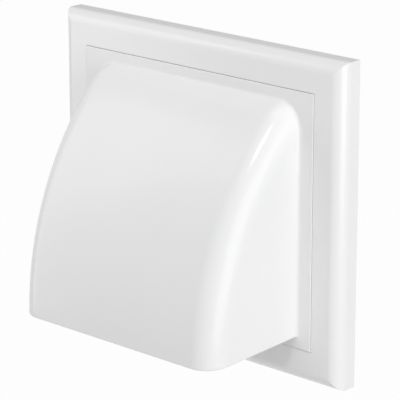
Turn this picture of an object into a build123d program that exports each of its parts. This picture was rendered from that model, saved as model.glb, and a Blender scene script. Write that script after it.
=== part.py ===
from build123d import *
import os
from math import asin, cos, degrees, radians, tan

# Cowled wall vent for a round duct: a tray-shaped wall plate with a rear spigot, a snap-in cowl whose
# mouth faces down, and a gravity flap on a steel pin that keeps the draught out.
# Frame: +Z up, the wall is the plane Y = 0, the cowl faces -Y, the origin is on the spigot's axis.
# Every length is in millimetres and every angle in degrees.

# Spigot that goes into the duct
spigot_diameter = 98.0
spigot_wall = 2.2
spigot_length = 40.0
spigot_chamfer = 1.0

# Flap, its seat and its hinge
flap_overlap = 2.2
flap_thickness = 1.2
flap_bead_width = 2.0
flap_bead_height = 1.0
flap_rib_width = 1.2
flap_rib_height = 1.0
flap_gap = 0.3
seat_height = 2.5
seat_margin = 0.5
hinge_lift = 2.8
hinge_setback = 0.2
pin_diameter = 2.0
pin_overhang = 1.0
pin_chamfer = 0.3
pin_grip = 0.03
barrel_clearance = 0.08
barrel_wall = 1.32
barrel_length = 51.0
ear_wall = 1.6
ear_thickness = 3.0
ear_side_gap = 0.5

# Wall plate
frame_width = 15.5
plate_depth = 12.0
plate_wall = 2.4
rim_radius = 6.0
floor_thickness = 2.4
side_room = 21.5
hinge_room = 2.12
rib_thickness = 1.6
rib_setback = 1.0
rib_pitch = 34.0
screw_hole_diameter = 4.5
screw_head_diameter = 8.5
screw_boss_wall = 1.75
screw_boss_height = 3.0
screw_inset = 10.5

# Cowl
seam_gap = 0.25
cowl_wall = 2.2
foot_rise = 0.4
foot_edge_radius = 0.3
mouth_strip = 5.25
hood_projection = 67.5
hood_shoulder = 3.3
hood_top_strip = 4.8
hood_side_strip = 8.0
hood_top_radius = 24.0
hood_edge_radius = 11.5
hood_draft = 2.0
hood_base_radius = 1.7
lip_drop = 3.7
lip_edge_radius = 0.8
hook_pitch = 56.0
hook_width = 10.0
hook_height = 4.0
hook_land = 1.0
hook_catch = 1.0
hook_play = 0.25
hook_slit = 1.0

# Round sizes that follow from the spigot
spigot_radius = spigot_diameter / 2
bore_radius = spigot_radius - spigot_wall
flap_radius = bore_radius + flap_overlap
seat_radius = flap_radius + seat_margin

# Levels in front of the wall, measured along -Y
seat_level = floor_thickness + seat_height
flap_back_level = seat_level + flap_gap
flap_front_level = flap_back_level + flap_thickness
hinge_level = flap_back_level + hinge_setback
boss_level = floor_thickness + screw_boss_height
hook_level = floor_thickness + hook_height
foot_front_level = plate_depth + foot_rise
foot_back_level = foot_front_level - cowl_wall
mouth_depth = hood_projection - foot_front_level

# Hinge sizes and places
pin_radius = pin_diameter / 2
barrel_bore_radius = pin_radius + barrel_clearance
barrel_radius = barrel_bore_radius + barrel_wall
ear_bore_radius = pin_radius + pin_grip
ear_radius = ear_bore_radius + ear_wall
ear_x = barrel_length / 2 + ear_side_gap + ear_thickness / 2
pin_half_length = ear_x + ear_thickness / 2 + pin_overhang
hinge_z = seat_radius + hinge_lift

# Well in the plate that takes the cowl, and the plate's outline around it
well_half_width = spigot_radius + side_room
well_half_height = hinge_z + ear_radius + hinge_room + cowl_wall + seam_gap
well_width, well_height = 2 * well_half_width, 2 * well_half_height
plate_width, plate_height = well_width + 2 * frame_width, well_height + 2 * frame_width
screw_pitch_x, screw_pitch_z = well_width - 2 * screw_inset, well_height - 2 * screw_inset
screw_hole_radius = screw_hole_diameter / 2
screw_head_radius = screw_head_diameter / 2

# Cowl outline inside the well
foot_half_width = well_half_width - seam_gap
foot_width, foot_height = well_width - 2 * seam_gap, well_height - 2 * seam_gap
hood_half_width = foot_half_width - hood_side_strip
hood_top_z = foot_height / 2 - hood_top_strip
mouth_z = mouth_strip - foot_height / 2
lip_z = mouth_z - lip_drop
hook_reach = seam_gap + hook_catch

# The hood's front is one arc, upright at the lip, that ends on the shoulder above the foot
arc_rise = hood_top_z - lip_z
arc_reach = mouth_depth - hood_shoulder
hood_arc_radius = (arc_rise**2 + arc_reach**2) / (2 * arc_reach)
arc_centre_y = hood_arc_radius - hood_projection
bottom_z = lip_z - hood_edge_radius


def wall_plane(level):
    """Plane parallel to the wall, level in front of it, that extrudes away from the wall."""
    return Plane.XZ.offset(level)


def rounded_slab(width, height, depth, radius):
    """Slab on the wall with a rounded front rim and mitred corners."""
    with BuildPart() as slab:
        with BuildSketch(wall_plane(0)):
            Rectangle(width, height)
        extrude(amount=depth)
        fillet(slab.faces().sort_by(Axis.Y)[0].edges(), radius)
    return slab.part


def hood_form(inset):
    """Solid hood, its skin moved in by inset, cut off behind the foot and well below the mouth."""
    arc_radius = hood_arc_radius - inset
    ledge_z = hood_top_z - inset
    arc_turn = degrees(asin((ledge_z - lip_z) / arc_radius))
    back_y = hood_top_radius
    taper = tan(radians(hood_draft))
    base_half = hood_half_width - inset / cos(radians(hood_draft))
    front_half = base_half - taper * mouth_depth
    back_half = base_half + taper * (foot_front_level + back_y)

    with BuildPart() as hood:
        with BuildSketch(Plane.YZ) as side_view:
            with BuildLine():
                front = CenterArc((arc_centre_y, lip_z), arc_radius, 180, -arc_turn)
                front_y = (front @ 0).X
                Polyline(front @ 1, (back_y, ledge_z), (back_y, bottom_z), (front_y, bottom_z), front @ 0)
            make_face()
            shoulder = side_view.vertices().group_by(Axis.Y)[-1].sort_by(Axis.X)[0]
            fillet(shoulder, hood_top_radius - inset)
        extrude(amount=plate_width, both=True)
        with BuildSketch(Plane.XY):
            with BuildLine():
                Polyline(
                    (back_half, back_y),
                    (-back_half, back_y),
                    (-front_half, -hood_projection),
                    (front_half, -hood_projection),
                    close=True,
                )
            make_face()
        extrude(amount=plate_height, both=True, mode=Mode.INTERSECT)
        # Round the two long side edges, from the bottom up over the shoulder to the back
        sides = hood.faces().sort_by(Axis.X)
        for side in (sides[0], sides[-1]):
            fillet(side.edges().sort_by(Axis.Y)[:-1].sort_by(Axis.Z)[1:], hood_edge_radius - inset)
        split(bisect_by=wall_plane(foot_back_level))
    return hood.part


# Wall plate: bullnosed frame, hollow behind, around a tray with the duct opening
plate_outside = rounded_slab(plate_width, plate_height, plate_depth, rim_radius)
plate_hollow = rounded_slab(
    plate_width - 2 * plate_wall,
    plate_height - 2 * plate_wall,
    plate_depth - plate_wall,
    rim_radius - plate_wall,
)

with BuildPart() as wall_plate:
    add(plate_outside)
    add(plate_hollow, mode=Mode.SUBTRACT)
    # Ribs across the hollow frame
    with BuildSketch(wall_plane(rib_setback)):
        with GridLocations(rib_pitch, 0, 4, 1):
            Rectangle(rib_thickness, plate_height - plate_wall)
        with GridLocations(0, hook_pitch, 1, 3):
            Rectangle(plate_width - plate_wall, rib_thickness)
    extrude(amount=plate_depth - plate_wall - rib_setback)
    # Well for the cowl, with its wall and floor
    with BuildSketch(wall_plane(0)):
        Rectangle(well_width + 2 * plate_wall, well_height + 2 * plate_wall)
    extrude(amount=plate_depth)
    with BuildSketch(wall_plane(floor_thickness)):
        Rectangle(well_width, well_height)
    extrude(amount=plate_depth - floor_thickness, mode=Mode.SUBTRACT)
    # Spigot behind, seat in front and the bore through both
    with BuildSketch(wall_plane(0)):
        Circle(spigot_radius)
    extrude(amount=-spigot_length)
    chamfer(wall_plate.faces().sort_by(Axis.Y)[-1].edges(), spigot_chamfer)
    with BuildSketch(wall_plane(floor_thickness)):
        Circle(seat_radius)
    extrude(amount=seat_height)
    with BuildSketch(wall_plane(-spigot_length)):
        Circle(bore_radius)
    extrude(amount=spigot_length + seat_level, mode=Mode.SUBTRACT)
    # Countersunk screw bosses in the corners of the floor
    with BuildSketch(wall_plane(floor_thickness)):
        with GridLocations(screw_pitch_x, screw_pitch_z, 2, 2):
            Circle(screw_head_radius + screw_boss_wall)
    extrude(amount=screw_boss_height)
    with Locations(wall_plane(boss_level)):
        with GridLocations(screw_pitch_x, screw_pitch_z, 2, 2):
            CounterSinkHole(screw_hole_radius, screw_head_radius, depth=boss_level)
    # Ears that hold the hinge pin
    for side in (-1, 1):
        with BuildSketch(Plane.YZ.offset(side * ear_x)):
            with Locations((-hinge_level, hinge_z)):
                Circle(ear_radius)
            with Locations((-(floor_thickness + hinge_level) / 2, hinge_z)):
                Rectangle(hinge_level - floor_thickness, 2 * ear_radius)
            with Locations((-hinge_level, hinge_z)):
                Circle(ear_bore_radius, mode=Mode.SUBTRACT)
        extrude(amount=ear_thickness / 2, both=True)
        # Windows in the well wall for the cowl's hooks
        with BuildSketch(Plane.YZ.offset(side * well_half_width)):
            with Locations((-(floor_thickness + hook_level + hook_play) / 2, 0)):
                with GridLocations(0, hook_pitch, 1, 2):
                    Rectangle(hook_height + hook_play, hook_width + 2 * hook_play)
        extrude(amount=side * plate_wall, mode=Mode.SUBTRACT)

# Cowl: a hood with a rounded lip, on a raised foot whose skirt goes down into the well
mouth_plane = Plane((0, -hood_projection, lip_z), (1, 0, 0), (0, -lip_drop, mouth_depth))

with BuildPart() as hood_hollow:
    add(hood_form(cowl_wall))
    split(bisect_by=mouth_plane)

with BuildPart() as hood_shell:
    add(hood_form(0))
    # Shelf inside the foot that the hood's base is filleted onto
    shelf_top_z = foot_height / 2 - foot_edge_radius
    with BuildSketch(wall_plane(foot_back_level)):
        with Locations((0, (shelf_top_z + bottom_z) / 2)):
            Rectangle(foot_width - 2 * foot_edge_radius, shelf_top_z - bottom_z)
    extrude(amount=cowl_wall)
    fillet(hood_shell.edges(Select.NEW), hood_base_radius)
    split(bisect_by=mouth_plane)
    add(hood_hollow.part, mode=Mode.SUBTRACT)
    mouth_rim = hood_shell.faces().sort_by(Axis.Z)[0]
    lip_back = -foot_front_level - hood_base_radius
    fillet(mouth_rim.edges().filter_by_position(Axis.Y, -hood_projection, lip_back), lip_edge_radius)

with BuildPart() as cowl:
    with BuildSketch(wall_plane(floor_thickness)):
        Rectangle(foot_width, foot_height)
    extrude(amount=foot_front_level - floor_thickness)
    fillet(cowl.faces().sort_by(Axis.Y)[0].edges(), foot_edge_radius)
    with BuildSketch(wall_plane(floor_thickness)):
        Rectangle(foot_width - 2 * cowl_wall, foot_height - 2 * cowl_wall)
    extrude(amount=foot_back_level - floor_thickness, mode=Mode.SUBTRACT)
    add(hood_hollow.part, mode=Mode.SUBTRACT)
    add(hood_shell.part)
    # Snap hooks on tongues slit out of the skirt
    for side in (-1, 1):
        for hook_z in (-hook_pitch / 2, hook_pitch / 2):
            with BuildSketch(Plane.XY.offset(hook_z)):
                with BuildLine():
                    Polyline(
                        (side * foot_half_width, -floor_thickness),
                        (side * (foot_half_width + hook_reach), hook_land - hook_level),
                        (side * (foot_half_width + hook_reach), -hook_level),
                        (side * foot_half_width, -hook_level),
                        close=True,
                    )
                make_face()
            extrude(amount=hook_width / 2, both=True)
            with BuildSketch(Plane.YZ.offset(side * foot_half_width)):
                with Locations((-(floor_thickness + foot_back_level) / 2, hook_z)):
                    with GridLocations(0, hook_width + hook_slit, 1, 2):
                        Rectangle(foot_back_level - floor_thickness, hook_slit)
            extrude(amount=-side * cowl_wall, mode=Mode.SUBTRACT)

# Gravity flap: a beaded disc with cross ribs under a hinge barrel
with BuildPart() as damper_flap:
    with BuildSketch(wall_plane(flap_back_level)):
        Circle(flap_radius)
        with Locations((0, hinge_z / 2)):
            Rectangle(barrel_length, hinge_z)
    extrude(amount=flap_thickness)
    with BuildSketch(wall_plane(flap_front_level)):
        Circle(flap_radius)
        Circle(flap_radius - flap_bead_width, mode=Mode.SUBTRACT)
    extrude(amount=flap_bead_height)
    with BuildSketch(wall_plane(flap_front_level)):
        Rectangle(2 * flap_radius - flap_bead_width, flap_rib_width)
        Rectangle(flap_rib_width, 2 * flap_radius - flap_bead_width)
    extrude(amount=flap_rib_height)
    with BuildSketch(Plane.YZ):
        with Locations((-hinge_level, hinge_z)):
            Circle(barrel_radius)
    extrude(amount=barrel_length / 2, both=True)
    with BuildSketch(Plane.YZ):
        with Locations((-hinge_level, hinge_z)):
            Circle(barrel_bore_radius)
    extrude(amount=barrel_length / 2, both=True, mode=Mode.SUBTRACT)

# Steel pin through the barrel and both ears
with BuildPart() as hinge_pin:
    with BuildSketch(Plane.YZ):
        with Locations((-hinge_level, hinge_z)):
            Circle(pin_radius)
    extrude(amount=pin_half_length, both=True)
    chamfer(hinge_pin.edges().filter_by(GeomType.CIRCLE), pin_chamfer)

pieces = {"wall_plate": wall_plate, "cowl": cowl, "damper_flap": damper_flap, "hinge_pin": hinge_pin}
os.makedirs("parts", exist_ok=True)
for name, piece in pieces.items():
    piece.part.label = name
    export_step(piece.part, f"parts/{name}.step")
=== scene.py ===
import math
import bpy
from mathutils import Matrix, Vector


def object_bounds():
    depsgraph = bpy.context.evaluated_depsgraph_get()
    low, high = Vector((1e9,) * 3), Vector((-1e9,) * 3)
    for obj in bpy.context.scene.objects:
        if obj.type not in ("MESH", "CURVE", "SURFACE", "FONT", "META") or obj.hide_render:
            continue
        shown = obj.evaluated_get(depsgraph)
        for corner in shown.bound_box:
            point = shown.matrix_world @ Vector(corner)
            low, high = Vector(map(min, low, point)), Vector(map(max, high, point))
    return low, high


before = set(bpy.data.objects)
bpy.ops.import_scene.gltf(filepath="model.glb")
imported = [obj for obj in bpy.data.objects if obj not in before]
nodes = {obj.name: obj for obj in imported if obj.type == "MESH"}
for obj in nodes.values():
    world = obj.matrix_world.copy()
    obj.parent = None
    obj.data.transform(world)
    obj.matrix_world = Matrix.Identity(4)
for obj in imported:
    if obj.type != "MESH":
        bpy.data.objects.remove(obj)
cadLow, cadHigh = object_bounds()
scene = bpy.context.scene
scene.view_settings.view_transform = "Standard"
print("frame loaded with", ", ".join(sorted(nodes)))

photoCamera = {
    "azimuth": 43.05,  # degrees to the right of straight in front
    "elevation": 16.48,
    "distance": 1.09825,
    "aim": (-0.00836, 0.0, -0.0068),
    "lens": 212.33,
    "sensor": 36.0,
}


def towards(azimuth, elevation):
    turn, rise = math.radians(azimuth), math.radians(elevation)
    flat = math.cos(rise)
    return Vector((math.sin(turn) * flat, -math.cos(turn) * flat, math.sin(rise)))


def place(thing, spec):  # turned to face the point that it aims at
    back = towards(spec["azimuth"], spec["elevation"])
    thing.location = Vector(spec["aim"]) + back * spec["distance"]
    thing.rotation_euler = back.to_track_quat("Z", "Y").to_euler()
    scene.collection.objects.link(thing)


lensData = bpy.data.cameras.new("photoCamera")
lensData.sensor_width, lensData.lens = photoCamera["sensor"], photoCamera["lens"]
cameraObject = bpy.data.objects.new("photoCamera", lensData)
place(cameraObject, photoCamera)
scene.camera = cameraObject
print("camera placed")


class Wire:  # a node's socket that can be used in a sum
    def __init__(self, tree, socket=None):
        self.tree, self.socket = tree, socket

    def node(self, kind, inputs=None, output=0, **settings):
        made = self.tree.nodes.new("ShaderNode" + kind)
        for name, value in settings.items():
            setattr(made, name, value)
        for key, value in (inputs or {}).items():
            self.feed(made.inputs[key], value)
        return Wire(self.tree, made.outputs[output])

    def feed(self, socket, value):
        if isinstance(value, Wire):
            self.tree.links.new(value.socket, socket)
        else:
            socket.default_value = value

    def maths(self, operation, first, second):
        return self.node("Math", {0: first, 1: second}, operation=operation)

    def __add__(self, other):
        return self.maths("ADD", self, other)

    def __radd__(self, other):
        return self.maths("ADD", other, self)

    def __sub__(self, other):
        return self.maths("SUBTRACT", self, other)

    def __mul__(self, other):
        return self.maths("MULTIPLY", self, other)

    def __abs__(self):
        return self.maths("ABSOLUTE", self, 0.0)

    def largest(self, other):
        return self.maths("MAXIMUM", self, other)

    def fade(self, low, high):  # 0 at low, 1 at high, smooth between
        inputs = {"Value": self, "From Min": low, "From Max": high}
        return self.node("MapRange", inputs, interpolation_type="SMOOTHSTEP")

    def along(self, axis):
        return self.node("SeparateXYZ", {"Vector": self}, axis)


millimetre = 0.001


def newFinish(name, fixed):
    material = bpy.data.materials.new(name)
    material.use_nodes = True
    shader = material.node_tree.nodes["Principled BSDF"]
    for socketName, value in fixed.items():
        shader.inputs[socketName].default_value = value
    return material, shader, Wire(material.node_tree)


def wireUp(shader, colour, rough, height):  # height in millimetres
    relief = {"Strength": 1.0, "Distance": millimetre, "Height": height}
    bump = height.node("Bump", relief)
    for socketName, wire in (("Base Color", colour), ("Roughness", rough), ("Normal", bump)):
        wire.feed(shader.inputs[socketName], wire)


def noise(spot, size, detail=2.0, roughness=0.5, stretch=(1, 1, 1)):
    scale = tuple(side / size for side in stretch)
    scaled = spot.node("Mapping", {"Vector": spot, "Scale": scale})
    inputs = {"Vector": scaled, "Scale": 1.0, "Detail": detail, "Roughness": roughness}
    return spot.node("TexNoise", inputs)


def tint(factor, plain, changed):  # sockets 6 and 7 take the colours, and output 2 gives one
    return factor.node("Mix", {0: factor, 6: plain, 7: changed}, 2, data_type="RGBA")


def dress(node, material):
    slots = nodes[node].data.materials
    slots.clear()
    slots.append(material)


glossWhite = {
    "colour": (0.86, 0.86, 0.86, 1),
    "cloudColour": (0.848, 0.849, 0.850, 1),  # faint drift of tone over the moulding
    "cloud": {"size": 0.045, "detail": 1.0},
    "cloudFade": (0.2, 0.8),
    "dustColour": (0.74, 0.73, 0.71, 1),
    "dust": {"size": 0.004, "detail": 4.0, "roughness": 0.65},
    "dustFade": (0.35, 0.75),
    "dustSlope": (0.55, 0.95),  # dust settles on what faces up
    "dustAmount": 0.03,
    "roughness": 0.17,
    "roughDrift": 0.04,
    "coreRoughness": 0.22,  # added on the unpolished core side of the mould
    "peel": {"size": 0.0013},
    "peelHeight": 0.004,  # heights in millimetres
    "waves": {"size": 0.028, "detail": 1.0},
    "waveHeight": 0.02,
    "spark": {"size": 0.00035, "detail": 3.0, "roughness": 0.6},
    "sparkHeight": 0.012,
    "ior": 1.49,
    "shine": 0.5,
}


def mouldedGloss(name, look, coreSide):
    fixed = {"IOR": look["ior"], "Specular IOR Level": look["shine"]}
    material, shader, wire = newFinish(name, fixed)
    spot = wire.node("TexCoord", output="Object")
    facing = wire.node("NewGeometry", output="Normal")
    cloud = noise(spot, **look["cloud"]).fade(*look["cloudFade"])
    settled = facing.along("Z").fade(*look["dustSlope"])
    dust = noise(spot, **look["dust"]).fade(*look["dustFade"]) * settled * look["dustAmount"]
    core = coreSide(spot, facing)

    peel = noise(spot, **look["peel"]) * look["peelHeight"]
    waves = noise(spot, **look["waves"]) * look["waveHeight"]
    spark = noise(spot, **look["spark"]) * core * look["sparkHeight"]
    clean = tint(cloud, look["colour"], look["cloudColour"])
    colour = tint(dust, clean, look["dustColour"])
    rough = look["roughness"] + cloud * look["roughDrift"] + core * look["coreRoughness"] + dust
    wireUp(shader, colour, rough, peel + waves + spark)
    return material


plateBack = {"turned": (0.3, 0.6)}


def backOfPlate(spot, facing):
    return facing.along("Y").fade(*plateBack["turned"])


hoodInside = {
    "halfWidth": 0.0611,  # to the middle of the side wall, at the foot's front
    "footFront": -0.014,
    "draft": 0.0349,
    "turnedBack": (0.05, 0.3),
    "turnedAside": (0.8, 0.95),
    "border": 0.0003,
}


def insideOfHood(spot, facing):
    backward = facing.along("Y").fade(*hoodInside["turnedBack"])
    sideways = abs(facing.along("X")).fade(*hoodInside["turnedAside"])
    depth = spot.along("Y") - hoodInside["footFront"]
    half = hoodInside["halfWidth"] + depth * hoodInside["draft"]
    within = (half - abs(spot.along("X"))).fade(0.0, hoodInside["border"])
    return backward.largest(sideways * within)


cowlWhite = {**glossWhite, "shine": 0.3}  # mirrors less than the plate in the photo
dress("wall_plate", mouldedGloss("plateGloss", glossWhite, backOfPlate))
dress("cowl", mouldedGloss("cowlGloss", cowlWhite, insideOfHood))
print("plate and cowl dressed in gloss white")

flapLook = {
    "colour": (0.82, 0.82, 0.81, 1),
    "flowColour": (0.79, 0.79, 0.775, 1),
    "flow": {"size": 0.03, "detail": 3.0, "roughness": 0.55, "stretch": (1.0, 1.0, 0.35)},
    "flowFade": (0.35, 0.7),
    "roughness": 0.42,
    "roughDrift": 0.10,
    "grain": {"size": 0.0004, "detail": 3.0, "roughness": 0.6},
    "grainHeight": 0.01,
    "ior": 1.49,
}


def satinFlap(look):
    material, shader, wire = newFinish("flapSatin", {"IOR": look["ior"]})
    spot = wire.node("TexCoord", output="Object")
    flow = noise(spot, **look["flow"]).fade(*look["flowFade"])
    grain = noise(spot, **look["grain"])
    colour = tint(flow, look["colour"], look["flowColour"])
    rough = look["roughness"] + flow * look["roughDrift"]
    wireUp(shader, colour, rough, grain * look["grainHeight"])
    return material


dress("damper_flap", satinFlap(flapLook))

pinLook = {
    "colour": (0.62, 0.62, 0.63, 1),
    "streakColour": (0.48, 0.48, 0.50, 1),
    "streak": {"size": 0.0002, "detail": 3.0, "roughness": 0.6, "stretch": (0.02, 1.0, 1.0)},
    "streakFade": (0.35, 0.7),
    "roughness": 0.24,
    "roughDrift": 0.16,
    "drawHeight": 0.003,
}


def drawnSteel(look):
    material, shader, wire = newFinish("pinDrawnSteel", {"Metallic": 1.0})
    spot = wire.node("TexCoord", output="Object")
    streak = noise(spot, **look["streak"])
    shown = streak.fade(*look["streakFade"])
    colour = tint(shown, look["colour"], look["streakColour"])
    rough = look["roughness"] + shown * look["roughDrift"]
    wireUp(shader, colour, rough, streak * look["drawHeight"])
    return material


dress("hinge_pin", drawnSteel(pinLook))
print("flap and pin dressed")

white = (1, 1, 1, 1)
ventMiddle = (0, 0, 0)
studio = {
    "worldStrength": 0.395,
    "floorDrop": 0.30,  # the vent hangs this far above the floor
    "floorSize": 12.0,
    "floorColour": (0.85, 0.85, 0.85, 1),
    "floorShine": 0.97,
}
lamps = {
    "keyBox": {
        "azimuth": 75, "elevation": 6, "distance": 1.3,
        "wide": 1.0, "tall": 1.1, "watts": 8.3,
    },
    "topBox": {
        "azimuth": 0, "elevation": 82, "distance": 1.3,
        "wide": 0.9, "tall": 0.5, "watts": 2.2,
    },
    "leftPanel": {  # near, so that the hood's front darkens to the right
        "azimuth": -54, "elevation": 13, "distance": 0.55,
        "wide": 0.2, "tall": 0.7, "watts": 0.75,
    },
    "streakLamp": {
        "azimuth": 33, "elevation": 52, "distance": 1.2,
        "wide": 0.13, "tall": 0.2, "watts": 2.8,
    },
}
greyCard = {
    "azimuth": -137, "elevation": 16, "distance": 0.8, "aim": ventMiddle,
    "wide": 1.0, "tall": 0.5, "colour": (0.5, 0.5, 0.5, 1), "roughness": 0.9,
}


def seenDirectly(wire):  # camera, mirror and glass rays get the plain white background
    outputs = wire.node("LightPath").socket.node.outputs
    camera, mirror, glass = (
        Wire(wire.tree, outputs[name])
        for name in ("Is Camera Ray", "Is Glossy Ray", "Is Transmission Ray")
    )
    return camera.largest(mirror).largest(glass)


def whiteWorld(spec):
    world = bpy.data.worlds.new("studioWorld")
    world.use_nodes = True
    scene.world = world
    tree = world.node_tree
    tree.nodes.clear()
    wire = Wire(tree)
    lit = wire.node("Background", {"Color": white, "Strength": spec["worldStrength"]})
    shown = wire.node("Background", {"Color": white, "Strength": 1.0})
    both = wire.node("MixShader", {0: seenDirectly(wire), 1: lit, 2: shown})
    wire.feed(tree.nodes.new("ShaderNodeOutputWorld").inputs["Surface"], both)


def paleFloor(spec):
    bpy.ops.mesh.primitive_plane_add(size=spec["floorSize"])
    floor = bpy.context.object
    floor.name = "studioFloor"
    floor.location.z = cadLow.z - spec["floorDrop"]
    material = bpy.data.materials.new("floorPale")
    material.use_nodes = True
    tree = material.node_tree
    tree.nodes.clear()
    wire = Wire(tree)
    matte = wire.node("BsdfDiffuse", {"Color": spec["floorColour"]})
    shown = wire.node("Emission", {"Color": white, "Strength": 1.0})
    shine = seenDirectly(wire) * spec["floorShine"]
    both = wire.node("MixShader", {0: shine, 1: matte, 2: shown})
    wire.feed(tree.nodes.new("ShaderNodeOutputMaterial").inputs["Surface"], both)
    floor.data.materials.append(material)


def hangLamp(name, spec):
    data = bpy.data.lights.new(name, "AREA")
    data.shape, data.energy = "RECTANGLE", spec["watts"]
    data.size, data.size_y = spec["wide"], spec["tall"]
    lamp = bpy.data.objects.new(name, data)
    lamp.visible_camera = False
    place(lamp, {"aim": ventMiddle, **spec})


def standCard(spec):  # keeps the plate's top edge from fading into the white behind it
    bpy.ops.mesh.primitive_plane_add(size=1.0)
    card = bpy.context.object
    card.name = "greyCard"
    card.scale = (spec["wide"], spec["tall"], 1.0)
    card.visible_camera = False
    scene.collection.objects.unlink(card)
    place(card, spec)
    fixed = {"Base Color": spec["colour"], "Roughness": spec["roughness"]}
    card.data.materials.append(newFinish("cardGrey", fixed)[0])


whiteWorld(studio)
paleFloor(studio)
standCard(greyCard)
for lampName, lampSpec in lamps.items():
    hangLamp(lampName, lampSpec)
print("studio lit")
